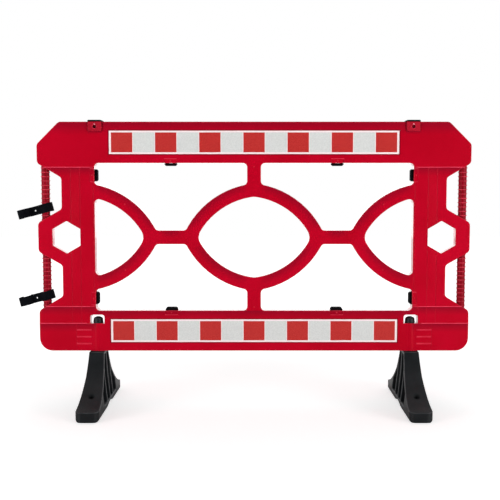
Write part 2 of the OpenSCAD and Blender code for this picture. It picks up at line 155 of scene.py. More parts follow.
floor_paint = tree.nodes.new("ShaderNodeBsdfDiffuse")
floor_paint.inputs["Color"].default_value = floor_tone
floor_glow = tree.nodes.new("ShaderNodeEmission")
link(tree, ramp(tree, floor_way.outputs["Value"], *glow_reach, *glow_strength, kind="LINEAR"),
     floor_glow.inputs["Strength"])
floor_sum = tree.nodes.new("ShaderNodeAddShader")
link(tree, floor_paint.outputs[0], floor_sum.inputs[0])
link(tree, floor_glow.outputs[0], floor_sum.inputs[1])

floor_path = tree.nodes.new("ShaderNodeLightPath")
floor_behind = math_node(tree, "GREATER_THAN", floor_parts.outputs["Y"], behind_panel)
floor_mirrored = math_node(tree, "MULTIPLY", floor_behind, floor_path.outputs["Is Glossy Ray"])
floor_lit = math_node(tree, "MAXIMUM", floor_path.outputs["Is Camera Ray"], floor_mirrored)
floor_out = tree.nodes.new("ShaderNodeOutputMaterial")
link(tree, seen_by(tree, floor_lit, floor_paint.outputs[0], floor_sum.outputs[0]), floor_out.inputs["Surface"])
floor_mesh.materials.append(floor_material)
print("floor:", 2 * floor_half, "m square")

# %% [markdown]
# ## Backdrop
# The world is plain white for the eye. Gloss sees a room that is white behind the object and dark in front of it,
# so the rims of the windows pick up the pale backdrop while the broad front faces keep their deep red. The soft
# light from all round is stronger from behind and weaker from overhead. A big lamp behind could do the same, but
# a sky without edges leaves no lamp's shape in the gloss.

# %% Backdrop
front_to_back = -0.5, 0.4
level_to_top = 0.0, 0.8

world = bpy.data.worlds.new("studio_world")
scene.world = world
world.use_nodes = True
tree = world.node_tree
tree.nodes.clear()
sky_parts = tree.nodes.new("ShaderNodeSeparateXYZ")
link(tree, tree.nodes.new("ShaderNodeTexCoord").outputs["Generated"], sky_parts.inputs[0])


def sky(front, back, overhead=1.0):
    glow = tree.nodes.new("ShaderNodeBackground")
    glow.inputs["Color"].default_value = (1, 1, 1, 1)
    along = ramp(tree, sky_parts.outputs["Y"], *front_to_back, front, back, kind="LINEAR")
    above = ramp(tree, sky_parts.outputs["Z"], *level_to_top, 1.0, overhead, kind="LINEAR")
    link(tree, math_node(tree, "MULTIPLY", along, above), glow.inputs["Strength"])
    return glow.outputs[0]


soft_room = sky(front=0.30, back=1.1, overhead=0.5)
mirrored_room = sky(front=0.04, back=2.0)
white_sweep = sky(front=1.0, back=1.0)
sky_path = tree.nodes.new("ShaderNodeLightPath")
shiny = math_node(tree, "MAXIMUM", sky_path.outputs["Is Glossy Ray"], sky_path.outputs["Is Transmission Ray"])
room = seen_by(tree, shiny, soft_room, mirrored_room)
sky_out = tree.nodes.new("ShaderNodeOutputWorld")
link(tree, seen_by(tree, sky_path.outputs["Is Camera Ray"], room, white_sweep), sky_out.inputs["Surface"])
print("world:", world.name)

# %% [markdown]
# ## Soft boxes
# Two soft boxes stand low in front of the panel, one to each side, and the right one is a little stronger. From
# there they light the broad faces evenly, and the flat faces don't mirror them towards the camera, so no bright
# patch lies on the red.

# %% Soft boxes
def soft_box(name, place, power):
    data = bpy.data.lights.new(name, "AREA")
    data.shape = "RECTANGLE"
    data.size, data.size_y = box_size
    data.energy = power
    lamp = bpy.data.objects.new(name, data)
    scene.collection.objects.link(lamp)
    lamp.location = place
    lamp.rotation_euler = (Vector(panel_middle) - Vector(place)).to_track_quat("-Z", "Y").to_euler()


box_size = 2.2, 1.6
box_aside, box_ahead, box_height = 3.6, 3.0, 0.5
panel_middle = (panel_x, 0, 0.58)
soft_box("soft_box_left", (-box_aside, -box_ahead, box_height), power=138)
soft_box("soft_box_right", (box_aside, -box_ahead, box_height), power=154)
print("soft boxes:", [lamp.name for lamp in bpy.data.lights])

# %% [markdown]
# ## Shared surface effects
# Moulded plastic is never one flat colour. Its pigment drifts in wide blotches, its skin has a fine grain, its
# edges are rubbed paler, and dust lies on what faces up. The paler edge tone also paints the highlight that a
# rounded edge catches. Each could be drawn again in every material, but as a node group with named inputs it is
# built once, and every finish uses it at its own strength. The groups read Object coordinates, which stay with
# the piece.

# %% Node group helpers
noise_spread = 0.3, 0.7


def new_group(name, inputs, outputs):
    group = bpy.data.node_groups.new(name, "ShaderNodeTree")
    for label, value in inputs:
        socket = group.interface.new_socket(label, in_out="INPUT", socket_type="NodeSocketFloat")
        socket.default_value = value
    for label in outputs:
        group.interface.new_socket(label, in_out="OUTPUT", socket_type="NodeSocketFloat")
    given, made = group.nodes.new("NodeGroupInput"), group.nodes.new("NodeGroupOutput")
    return group, given.outputs, made.inputs


def noise(tree, scale, detail):
    node = tree.nodes.new("ShaderNodeTexNoise")
    node.inputs["Detail"].default_value = detail
    link(tree, object_place(tree), node.inputs["Vector"])
    link(tree, scale, node.inputs["Scale"])
    return node.outputs[0]


# %% Moulded grain
moulded_grain, given, made = new_group(
    "moulded_grain", [("Blotch Scale", 6), ("Grain Scale", 900)], ["Blotch", "Grain"])
blotch = noise(moulded_grain, given["Blotch Scale"], detail=3.0)
link(moulded_grain, ramp(moulded_grain, blotch, *noise_spread), made["Blotch"])
link(moulded_grain, noise(moulded_grain, given["Grain Scale"], detail=2.0), made["Grain"])
print("effect:", moulded_grain.name)

# %% Edge wear and light, and settled dust
# The edge tone marks real rubbing, and it also paints the highlight that a rounded edge catches.
edge_wear_and_light_marks, given, made = new_group("edge_wear_and_light_marks", [("Amount", 0.5), ("Patch Scale", 40)], ["Mask"])
edge_mark = edge_wear_and_light_marks.nodes.new("ShaderNodeAttribute")
edge_mark.attribute_name = "edge"
patches = noise(edge_wear_and_light_marks, given["Patch Scale"], detail=2.0)
patches = ramp(edge_wear_and_light_marks, patches, *noise_spread, start=0.35)
edge_wear_and_light = math_node(edge_wear_and_light_marks, "MULTIPLY", edge_mark.outputs["Fac"], patches)
link(edge_wear_and_light_marks, math_node(edge_wear_and_light_marks, "MULTIPLY", edge_wear_and_light, given["Amount"]), made["Mask"])

level_faces = 0.35, 0.95
settled_dust, given, made = new_group("settled_dust", [("Amount", 0.3), ("Patch Scale", 14)], ["Mask"])
facing = settled_dust.nodes.new("ShaderNodeSeparateXYZ")
link(settled_dust, settled_dust.nodes.new("ShaderNodeNewGeometry").outputs["Normal"], facing.inputs[0])
lying = ramp(settled_dust, facing.outputs["Z"], *level_faces)
patches = noise(settled_dust, given["Patch Scale"], detail=4.0)
patches = ramp(settled_dust, patches, 0.25, 0.75, start=0.3)
dusty = math_node(settled_dust, "MULTIPLY", lying, patches)
link(settled_dust, math_node(settled_dust, "MULTIPLY", dusty, given["Amount"]), made["Mask"])
print("effects:", edge_wear_and_light_marks.name, settled_dust.name)

# %% [markdown]
# ## Brow shade
# On the real panel the red looks darker just under each brow and along the upper side of the beams, the arcs and
# the cross bars, where the moulded wall rolls away from the light. Crowned walls would show it by themselves, but
# the walls of the solids are flat, so this shade is painted. A group makes a mask of those bands from Object
# coordinates, measured from the panel's middle, and the red finish takes a darker tone there. The same mask
# paints a shadow line round each strip's recess and a shadow under each tab. Its inputs are the panel's own
# sizes, in metres.

# %% Brow shade: sizes and helpers
brow_shade, given, made = new_group("brow_shade", [
    ("Beam Depth", 0.142), ("Post Step", 0.014), ("Block Line", 0.097), ("Eye Pitch", 0.577),
    ("Eye Shift", 0.030), ("Eye Offset", 0.111), ("Band Inside", 0.2533), ("Band Width", 0.046),
    ("Lattice Depth", 0.030), ("Lattice Half", 0.552)], ["Mask"])


def shade(operation, first, second=0.0):
    return math_node(brow_shade, operation, first, second)


def both(first, second):
    return shade("MULTIPLY", first, second)


def either(first, second):
    return shade("MAXIMUM", first, second)


def fade(value, start, depth):
    way = shade("DIVIDE", shade("SUBTRACT", value, start), depth)
    return shade("SMOOTH_MIN", either(way, 0.0), 1.0)


here = brow_shade.nodes.new("ShaderNodeSeparateXYZ")
link(brow_shade, object_place(brow_shade), here.inputs[0])
across = shade("ABSOLUTE", shade("SUBTRACT", here.outputs["X"], panel_x))
up = shade("SUBTRACT", here.outputs["Z"], panel_z)
from_middle = shade("ABSOLUTE", up)
beam_top = (shell_high.z - shell_low.z) / 2
print("panel's half height:", round(beam_top / MM, 1), "mm")

# %% Brow shade: beams, posts and blocks
# Painted shade along the top of the beams and below the brows of the posts and blocks.
top_band = 45 * MM
depth = given["Lattice Depth"]


def band_below(top):
    return both(fade(up, shade("SUBTRACT", top, depth), depth), shade("LESS_THAN", up, top))


is_post = shade("GREATER_THAN", across, given["Lattice Half"])
low_top = shade("SUBTRACT", given["Beam Depth"], beam_top)
low_top = shade("ADD", low_top, both(is_post, given["Post Step"]))
high_band = fade(up, beam_top - top_band, top_band)
post_band = both(band_below(shade("MULTIPLY", low_top, -1.0)), is_post)
block_band = both(band_below(shade("SUBTRACT", given["Block Line"], beam_top)), is_post)
bands = either(either(high_band, band_below(low_top)), either(post_band, block_band))
print("top band:", round(top_band / MM), "mm")

# %% Brow shade: round the strips and under the tabs
recess_margin = 4 * MM
tab_shade = 10 * MM
# Painted shadow line: the mask fills each strip's recess, and only its margin round the strip shows.
for level in ("upper", "lower"):
    low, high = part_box("strip_front_" + level)
    beside = shade("LESS_THAN", across, (high.x - low.x) / 2 + recess_margin)
    near = shade("ABSOLUTE", shade("SUBTRACT", here.outputs["Z"], (low.z + high.z) / 2))
    bands = either(bands, both(beside, shade("LESS_THAN", near, (high.z - low.z) / 2 + recess_margin)))

# Painted shadow under each tab, fading down from its lower edge.
tab_low, tab_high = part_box("fixing_tab_front_right")
from_tab = shade("ABSOLUTE", shade("SUBTRACT", across, (tab_low.x + tab_high.x) / 2 - panel_x))
beside = shade("LESS_THAN", from_tab, (tab_high.x - tab_low.x) / 2)
under_tab = both(fade(here.outputs["Z"], tab_low.z - tab_shade, tab_shade),
                 shade("LESS_THAN", here.outputs["Z"], tab_low.z))
bands = either(bands, both(beside, under_tab))
print("tabs shade", round(tab_shade / MM), "mm below them")

# %% Brow shade: arcs and cross bars
past_edge = 1 * MM
bar_band = 26 * MM
join_fade = 30 * MM
clear_of_bar = 20 * MM
clear_of_stem = 18 * MM

# Painted shade along the upper side of the arcs and the cross bars.
from_eye = shade("MINIMUM", across, shade("ABSOLUTE", shade("SUBTRACT", across, given["Eye Pitch"])))
reach = shade("POWER", shade("ADD", from_eye, given["Eye Shift"]), 2.0)
rise = shade("POWER", shade("ADD", from_middle, given["Eye Offset"]), 2.0)
from_arc = shade("SUBTRACT", shade("SQRT", shade("ADD", reach, rise)), given["Band Inside"])
inwards = shade("MULTIPLY", depth, -1.0)
upper_arc = fade(shade("SUBTRACT", from_arc, given["Band Width"]), inwards, depth)
lower_arc = fade(shade("MULTIPLY", from_arc, -1.0), inwards, depth)
is_upper = shade("GREATER_THAN", up, 0.0)
arcs = shade("ADD", both(upper_arc, is_upper), both(lower_arc, shade("SUBTRACT", 1.0, is_upper)))
arcs = both(arcs, both(fade(from_middle, clear_of_bar, join_fade), fade(from_eye, clear_of_stem, join_fade)))
arcs = both(arcs, shade("LESS_THAN", from_arc, shade("ADD", given["Band Width"], past_edge)))

bar_half = shade("MULTIPLY", given["Band Width"], 0.5)
cross_bar = both(fade(up, shade("SUBTRACT", bar_half, bar_band), bar_band),
                 fade(from_arc, given["Band Width"], join_fade))
cross_bar = both(cross_bar, shade("LESS_THAN", up, shade("ADD", bar_half, past_edge)))
lattice = both(either(arcs, cross_bar), shade("LESS_THAN", across, given["Lattice Half"]))
between_beams = shade("LESS_THAN", from_middle, shade("SUBTRACT", beam_top, given["Beam Depth"]))
link(brow_shade, either(bands, both(lattice, between_beams)), made["Mask"])
print("effects:", [group.name for group in bpy.data.node_groups])

# %% [markdown]
# ## Finishes
# All the plastics share one recipe: two tones that the blotches mix, another tone on the marked edges, a dust
# tone, and a roughness and a bump from the grain. The edge tone is rubbed wear and also a painted highlight where
# a rounded edge catches the light. The panel's red also has a darker tone for the painted brow shade, and a clear
# gloss that only faces seen at a slant get, so the rims of its windows shine and its broad faces don't. The tabs
# have near-black edges, a painted shadow line, and the bars a darker red, painted shade. The beads and the tabs'
# nubs have reds of their own, up to one that is nearly white: the pale ones are painted highlights, and the ribs'
# red, a shade darker than the panel, is painted shade. Values that are the same all over sit on the shader's own
# sockets.

# %% Plastic recipe
grain_depth = 0.2 * MM
rim_slant = 0.6, 0.85


def place_group(tree, group, **values):
    node = tree.nodes.new("ShaderNodeGroup")
    node.node_tree = group
    for label, value in values.items():
        node.inputs[label.replace("_", " ")].default_value = value
    return node.outputs


def blend(tree, mask, under, over):
    node = tree.nodes.new("ShaderNodeMix")
    node.data_type = "RGBA"
    link(tree, mask, node.inputs["Factor"])
    for socket, value in ((node.inputs[6], under), (node.inputs[7], over)):
        if isinstance(value, tuple):
            socket.default_value = (*value, 1)
        else:
            link(tree, value, socket)
    return node.outputs[2]


def raised(tree, shader, height, strength, distance):
    relief = tree.nodes.new("ShaderNodeBump")
    relief.inputs["Strength"].default_value = strength
    relief.inputs["Distance"].default_value = distance
    link(tree, height, relief.inputs["Height"])
    link(tree, relief.outputs["Normal"], shader.inputs["Normal"])


def new_finish(name, gloss):
    material = bpy.data.materials.new(name)
    material.use_nodes = True
    shader = material.node_tree.nodes["Principled BSDF"]
    shader.inputs["Specular IOR Level"].default_value = gloss
    return material, material.node_tree, shader


def plastic(name, tones, edge_wear_and_light, dust, roughness, gloss, scales, bump, wear_and_light_amount, dusting, shaded=None, rim_gloss=0.0):
    material, tree, shader = new_finish(name, gloss)
    grain = place_group(tree, moulded_grain, Blotch_Scale=scales[0], Grain_Scale=scales[1])
    edges = place_group(tree, edge_wear_and_light_marks, Amount=wear_and_light_amount)
    film = place_group(tree, settled_dust, Amount=dusting)
    colour = blend(tree, grain["Blotch"], *tones)
    if shaded:
        colour = blend(tree, place_group(tree, brow_shade)["Mask"], colour, shaded)
    colour = blend(tree, edges["Mask"], colour, edge_wear_and_light)
    colour = blend(tree, film["Mask"], colour, dust)
    link(tree, colour, shader.inputs["Base Color"])
    skin = ramp(tree, grain["Grain"], *noise_spread, *roughness)
    link(tree, math_node(tree, "ADD", skin, film["Mask"]), shader.inputs["Roughness"])
    raised(tree, shader, grain["Grain"], bump, grain_depth)
    if rim_gloss:
        slant = tree.nodes.new("ShaderNodeLayerWeight")
        slant.inputs["Blend"].default_value = 0.5
        link(tree, ramp(tree, slant.outputs["Facing"], *rim_slant, 0.0, rim_gloss), shader.inputs["Coat Weight"])
        shader.inputs["Coat Roughness"].default_value = 0.06
        shader.inputs["Coat IOR"].default_value = 1.7
    return material


# %% Reds
# shaded is the darker red that the painted brow shade blends in.
panel_red = plastic(
    "panel_red", tones=((0.44, 0.0004, 0.012), (0.51, 0.0006, 0.017)), edge_wear_and_light=(0.70, 0.035, 0.060),
    dust=(0.66, 0.14, 0.17), roughness=(0.22, 0.32), gloss=0.045, scales=(5, 700), bump=0.10, wear_and_light_amount=0.55,
    dusting=0.35, shaded=(0.27, 0.002, 0.015), rim_gloss=1.0)
# The bars' darker red is painted shade, and the pale edge tone on their rib crests is a painted highlight.
bar_red = plastic(
    "bar_red", tones=((0.22, 0.001, 0.008), (0.29, 0.001, 0.012)), edge_wear_and_light=(0.80, 0.06, 0.10),
    dust=(0.5, 0.10, 0.12), roughness=(0.34, 0.46), gloss=0.05, scales=(30, 700), bump=0.12, wear_and_light_amount=0.8,
    dusting=0.1)
# Bead reds: the two pale ones are painted highlights, and the rib red, a shade darker than the panel, is painted
# shade.
bead_skin = {"roughness": (0.24, 0.34), "scales": (40, 700), "bump": 0.05, "dusting": 0.2}
highlight_red = plastic(
    "highlight_red", tones=((0.60, 0.012, 0.045), (0.70, 0.020, 0.060)), edge_wear_and_light=(0.78, 0.05, 0.09),
    dust=(0.66, 0.14, 0.17), gloss=0.07, wear_and_light_amount=0.6, **bead_skin)
brow_highlight_red = plastic(
    "brow_highlight_red", tones=((0.82, 0.040, 0.100), (0.92, 0.055, 0.125)), edge_wear_and_light=(0.94, 0.09, 0.16),
    dust=(0.80, 0.20, 0.25), gloss=0.07, wear_and_light_amount=0.6, **bead_skin)
rib_shade_red = plastic(
    "rib_shade_red", tones=((0.40, 0.0006, 0.013), (0.46, 0.0008, 0.017)), edge_wear_and_light=(0.47, 0.004, 0.022),
    dust=(0.60, 0.10, 0.13), gloss=0.045, wear_and_light_amount=0.4, **bead_skin)
# The tabs' near-black edge tone is a painted shadow line round each tab; their body is a darker red than the
# panel.
tab_red = plastic(
    "tab_red", tones=((0.36, 0.006, 0.020), (0.43, 0.010, 0.026)), edge_wear_and_light=(0.05, 0.001, 0.004),
    dust=(0.60, 0.14, 0.17), roughness=(0.22, 0.32), gloss=0.05, scales=(9, 700), bump=0.10, wear_and_light_amount=1.0,
    dusting=0.1)
# A near-white red for the tabs' nubs: a painted highlight.
nub_highlight_red = plastic(
    "nub_highlight_red", tones=((0.80, 0.22, 0.28), (0.90, 0.32, 0.38)), edge_wear_and_light=(0.92, 0.45, 0.50),
    dust=(0.80, 0.40, 0.42), roughness=(0.30, 0.42), gloss=0.08, scales=(60, 700), bump=0.05, wear_and_light_amount=0.6,
    dusting=0.2)
print("reds:", [m.name for m in (panel_red, bar_red, highlight_red, brow_highlight_red, rib_shade_red, tab_red, nub_highlight_red)])

# %% Blacks
foot_black = plastic(
    "foot_black", tones=((0.0036, 0.0048, 0.0060), (0.0084, 0.0102, 0.0118)), edge_wear_and_light=(0.080, 0.084, 0.090),
    dust=(0.040, 0.043, 0.045), roughness=(0.40, 0.56), gloss=0.20, scales=(18, 500), bump=0.35, wear_and_light_amount=0.6,
    dusting=0.4)
connector_black = plastic(
    "connector_black", tones=((0.0022, 0.0026, 0.0040), (0.0042, 0.0048, 0.0066)), edge_wear_and_light=(0.020, 0.021, 0.025),
    dust=(0.02, 0.02, 0.02), roughness=(0.56, 0.70), gloss=0.02, scales=(25, 800), bump=0.15, wear_and_light_amount=0.5,
    dusting=0.2)
clip_black = plastic(
    "clip_black", tones=((0.0022, 0.0022, 0.0028), (0.0050, 0.0050, 0.0058)), edge_wear_and_light=(0.026, 0.026, 0.028),
    dust=(0.02, 0.02, 0.02), roughness=(0.60, 0.75), gloss=0.01, scales=(40, 800), bump=0.12, wear_and_light_amount=0.4,
    dusting=0.15)
print("blacks:", [m.name for m in (foot_black, connector_black, clip_black)])

# %% [markdown]
# ## Pieces from the CAD solids
# A CAD solid has knife-sharp edges and arrives as loose triangles. A copy is welded, sliced by planes where a
# flat face has holes, joined into flat faces again up to those cuts, and rounded only along the edges that the
# eye meets. A Bevel modifier could round it too, but bmesh lets the script choose edges by what they border. The
# new faces carry the edge mark, which gives them the edge tone of rubbed wear and painted highlight, and weighted
# normals keep the flats flat.

# %% Rounding helpers
smooth_angle = math.radians(38)
weld_reach = 0.01 * MM
cut_reach = 0.001 * MM


def slit(mesh, faces, place, way):
    around = dict.fromkeys(part for f in faces for part in (*f.verts, *f.edges))
    made = bmesh.ops.bisect_plane(
        mesh, geom=[*faces, *around], dist=cut_reach, plane_co=place, plane_no=way)
    for part in made["geom_cut"]:
        if isinstance(part, bmesh.types.BMEdge):
            part.seam = True


def welded(node, cutting=None, flat_angle=math.radians(0.6)):
    mesh = bmesh.new()
    mesh.from_mesh(frame["nodes"][node].data)
    bmesh.ops.remove_doubles(mesh, verts=mesh.verts, dist=weld_reach)
    if cutting:
        cutting(mesh)
    bmesh.ops.dissolve_limit(
        mesh, angle_limit=flat_angle, verts=mesh.verts, edges=mesh.edges, delimit={"SEAM"})
    mesh.normal_update()
    return mesh


def is_corner(edge, least=math.radians(32)):
    return len(edge.link_faces) == 2 and edge.is_convex and edge.calc_face_angle() > least


def rounded(mesh, edges, radius, segments):
    mark = mesh.faces.layers.float.get("edge") or mesh.faces.layers.float.new("edge")
    made = bmesh.ops.bevel(
        mesh, geom=edges, offset=radius, offset_type="OFFSET", segments=segments, profile=0.5,
        affect="EDGES", clamp_overlap=False, loop_slide=True)
    for face in made["faces"]:
        face[mark] = 1.0


# %% Finishing helpers
def smoothed(data):
    data.polygons.foreach_set("use_smooth", [True] * len(data.polygons))
    data.set_sharp_from_angle(angle=smooth_angle)


def new_piece(name, data):
    piece = bpy.data.objects.new(name, data)
    scene.collection.objects.link(piece)
    return piece


def made_plain(piece):
    source = piece.data
    plain = bpy.data.meshes.new_from_object(piece.evaluated_get(bpy.context.evaluated_depsgraph_get()))
    piece.modifiers.clear()
    piece.data = plain
    bpy.data.meshes.remove(source)
    plain.name = piece.name
    return plain


def finished(mesh, name, material, body, nodes):
    data = bpy.data.meshes.new(name)
    mesh.to_mesh(data)
    mesh.free()
    smoothed(data)
    piece = new_piece(name, data)
    weights = piece.modifiers.new("flats_first", "WEIGHTED_NORMAL")
    weights.keep_sharp = True
    plain = made_plain(piece)
    plain.materials.clear()
    plain.materials.append(material)
    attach(piece, body)
    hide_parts(*nodes)
    return piece


# %% [markdown]
# ## The two half shells
# A half shell is one thin-walled moulding, and the rear one is the front one turned round. Its outline is where
# the broad face turns into a rim at least a few millimetres deep. Those edges get a moulded radius, apart from
# the ones beside the stairs, which have no room for it. The low steps on the posts and the shallow recess of the
# strips stay crisp. Where the halves meet, a small chamfer along the full-depth rims leaves a fine parting line.
# The broad face is first sliced through its windows and above them at the tab holes, because one face with
# holes in it breaks up when its edges are rounded. The upright walls beside the stairs are sliced as well.

# %% Where a half shell is sliced
window_cuts = [side * x * MM for x in (300, 360, 505, 566, 585, 654, 708) for side in (-1, 1)] + [0.0]
mounts = {m["name"]: m for m in frame["record"]["mounts"]}
tab_places = [mounts[side + "_front_tab_hole"]["pos_m"][0] for side in ("left", "right")]
tab_column = 40 * MM
tab_level = panel_z + 300 * MM
stair_x = 602 * MM
stair_level = 19.4 * MM
stair_reach = 0.5 * MM
side_facing = 0.99


def above_window(face):
    middle = face.calc_center_median()
    return middle.z > tab_level and any(abs(middle.x - x) < tab_column for x in tab_places)


def is_stair(face):
    away = abs(abs(face.calc_center_median().x - panel_x) - stair_x)
    return abs(face.normal.x) > side_facing and away < stair_reach


def cut_shell(mesh):
    for x in window_cuts:
        slit(mesh, mesh.faces[:], (panel_x + x, 0, 0), (1, 0, 0))
    slit(mesh, mesh.faces[:], (0, 0, tab_level), (0, 0, 1))
    for x in tab_places:
        slit(mesh, [f for f in mesh.faces if above_window(f)], (x, 0, 0), (1, 0, 0))
    stair = [f for f in mesh.faces if is_stair(f)]
    for level in (-stair_level, stair_level):
        slit(mesh, [f for f in stair if f.is_valid], (0, level, 0), (0, 1, 0))


print("cuts:", len(window_cuts), "through windows,", len(tab_places), "above them")

# %% Which edges of a half shell are what
outline_angle = math.radians(60)
broad_facing, rim_facing = 0.98, 0.2
outline_radius = 2.5 * MM
stair_room = outline_radius + 0.2 * MM
least_rim_depth = 5 * MM
deepest_step = 3 * MM
strip_margin = 5 * MM
strip_boxes = [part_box("strip_front_" + level) for level in ("upper", "lower")]


def depth_of(face):
    along = [v.co.y for v in face.verts]
    return max(along) - min(along)


def rim_depth(edge):
    if not is_corner(edge, outline_angle):
        return None
    broad, rim = sorted(edge.link_faces, key=lambda f: -abs(f.normal.y))
    turns = abs(broad.normal.y) > broad_facing and abs(rim.normal.y) < rim_facing
    return depth_of(rim) if turns else None


def is_outline(edge):
    deep = rim_depth(edge)
    return deep is not None and deep > least_rim_depth


def is_step(edge):
    deep = rim_depth(edge)
    if deep is None or deep > deepest_step:
        return False
    at = (edge.verts[0].co + edge.verts[1].co) / 2
    return not any(low.x - strip_margin < at.x < high.x + strip_margin
                   and low.z - strip_margin < at.z < high.z + strip_margin for low, high in strip_boxes)


def beside_stair(edge):
    return min(abs(abs(v.co.x - panel_x) - stair_x) for v in edge.verts) < stair_room


# %% Half shells
parting_chamfer = 0.5 * MM
parting_reach = 0.05 * MM
full_rim_depth = 18.2 * MM
face_depth = 15 * MM
sliver = 0.1 * MM
step_lines = {}
for half in ("front", "rear"):
    mesh = welded(half + "_shell", cut_shell)
    corners = {}
    runs = [[corners.setdefault(v, len(corners)) for v in e.verts] for e in mesh.edges if is_step(e)]
    step_lines[half] = [v.co.copy() for v in corners], runs
    outline = [e for e in mesh.edges if is_outline(e)]
    on_parting = [e for e in outline if max(abs(v.co.y) for v in e.verts) < parting_reach
                  and max(depth_of(f) for f in e.link_faces) > full_rim_depth]
    on_face = [e for e in outline if min(abs(v.co.y) for v in e.verts) > face_depth and not beside_stair(e)]
    rounded(mesh, on_face, outline_radius, 3)
    on_parting = [e for e in on_parting if e.is_valid]
    rounded(mesh, on_parting, parting_chamfer, 1)
    bmesh.ops.remove_doubles(mesh, verts=mesh.verts, dist=sliver)
    shell = finished(mesh, half + "_half_shell", panel_red, "panel", [half + "_shell"])
    print(shell.name, len(on_face), "face edges,", len(on_parting), "parting edges,",
          len(shell.data.polygons), "faces")

# %% [markdown]
# ## Feet
# A foot is a black moulding with a ribbed hollow flank, and it turns in a sleeve of the panel. Its slope arrives
# as many narrow facets, so faces are joined up to a coarser angle before its corners are rounded. The rims of
# the anchor holes stay sharp, because the narrow spot face round each hole has no room for a radius.

# %% Feet
foot_radius = 2.2 * MM
foot_corner = math.radians(42)
slope_angle = math.radians(1.3)
hole_room = 6 * MM


def beside_hole(edge, hole):
    reach = hole["dims"]["r_mm"] * MM + hole_room
    return any((v.co - Vector(hole["pos_m"])).xy.length < reach for v in edge.verts)


for side in ("left", "right"):
    node = "foot_" + side
    holes = [mounts[f"{side}_{end}_anchor"] for end in ("front", "rear")]
    mesh = welded(node, flat_angle=slope_angle)
    corners = [e for e in mesh.edges
               if is_corner(e, foot_corner) and not any(beside_hole(e, hole) for hole in holes)]
    rounded(mesh, corners, foot_radius, 3)
    foot = finished(mesh, "standing_" + node, foot_black, node, [node])
    print(foot.name, len(corners), "edges,", len(foot.data.polygons), "faces")

# %% [markdown]
# ## Connectors, tabs and clips
# These are small mouldings, so their corners are rounded by less than a millimetre. A connector is two rings
# with a web between them. Its shortest facets are merged, and it is sliced through both rings and the web, so
# that no flat side has a hole in it. On a clip only the long edges are rounded, because its barbs are too fine
# for a radius.

# %% Connectors, tabs and clips
ring_facet = 0.9 * MM
ring_radius = 0.8 * MM
small_radius = 0.9 * MM
least_clip_edge = 15 * MM


def dress(node, name, radius, segments, material, body, least_edge=0.0, cutting=None):
    mesh = welded(node, cutting)
    corners = [e for e in mesh.edges if is_corner(e) and e.calc_length() > least_edge]
    rounded(mesh, corners, radius, segments)
    return finished(mesh, name, material, body, [node])


def cut_rings(mesh):
    bmesh.ops.remove_doubles(mesh, verts=mesh.verts, dist=ring_facet)
    ends = [v.co.x for v in mesh.verts]
    bar_low, bar_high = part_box("hinge_bar_left")
    bar_axis, web_middle = (bar_low.x + bar_high.x) / 2, (min(ends) + max(ends)) / 2
    for x in (bar_axis, web_middle, 2 * web_middle - bar_axis):
        slit(mesh, mesh.faces[:], (x, 0, 0), (1, 0, 0))


for level in ("upper", "lower"):
    node = "connector_" + level
    dress(node, "ring_" + node, ring_radius, 2, connector_black, node, cutting=cut_rings)
for node in frame["nodes"]:
    if node.startswith("fixing_tab"):
        dress(node, "moulded_" + node, small_radius, 2, tab_red, "panel")
    elif "clip" in node:
        dress(node, "snap_" + node, small_radius, 2, clip_black, "panel", least_clip_edge)

# %% [markdown]
# ## Geometry Nodes for what repeats
# Beads along the steps, ribs on a bar, squares on a strip and moulded nubs all repeat by a rule, so each kind is
# one node tree with named sizes. Copies could be made in a loop, but a tree shows its rule in one place. The tree
# is run on an empty mesh, or on a mesh of places, and the result is kept as a plain mesh that rides on the panel.

# %% Geometry node helpers
def new_tree(name, inputs):
    tree = bpy.data.node_groups.new(name, "GeometryNodeTree")
    for label, kind in inputs:
        tree.interface.new_socket(label, in_out="INPUT", socket_type="NodeSocket" + kind)
    tree.interface.new_socket("Geometry", in_out="OUTPUT", socket_type="NodeSocketGeometry")
    given, made = tree.nodes.new("NodeGroupInput").outputs, tree.nodes.new("NodeGroupOutput").inputs[0]
    return tree, functools.partial(step, tree), given, made


def step(tree, kind, sockets, **settings):
    node = tree.nodes.new(kind)
    for label, value in settings.items():
        setattr(node, label, value)
    for label, value in sockets.items():
        for source in value if isinstance(value, list) else [value]:
            if hasattr(source, "is_linked"):
                link(tree, source, node.inputs[label])
            else:
                node.inputs[label].default_value = source
    return node.outputs[0]


def edge_marked(tree, shape):
    return step(tree, "GeometryNodeStoreNamedAttribute", {
        "Geometry": shape, "Name": "edge", "Value": 1.0}, data_type="FLOAT", domain="FACE")


def end_tree(tree, shape, finish, made):
    shape = step(tree, "GeometryNodeRealizeInstances", {"Geometry": shape})
    link(tree, step(tree, "GeometryNodeSetMaterial", {"Geometry": shape, "Material": finish}), made)


def row_of(tree, count, pitch, axis):
    gaps = math_node(tree, "SUBTRACT", count, 1.0)
    start = math_node(tree, "MULTIPLY", math_node(tree, "MULTIPLY", gaps, pitch), -0.5)
    return step(tree, "GeometryNodeMeshLine", {
        "Count": count, "Start Location": step(tree, "ShaderNodeCombineXYZ", {axis: start}),
        "Offset": step(tree, "ShaderNodeCombineXYZ", {axis: pitch})})


def grown(tree, name, values, points=(), runs=()):
    data = bpy.data.meshes.new(name)
    data.from_pydata(list(points), list(runs), [])
    piece = new_piece(name, data)
    growth = piece.modifiers.new(tree.name, "NODES")
    growth.node_group = tree
    for socket in tree.interface.items_tree:
        if socket.in_out == "INPUT" and socket.name in values:
            growth[socket.identifier] = values[socket.name]
    smoothed(made_plain(piece))
    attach(piece, "panel")
    return piece


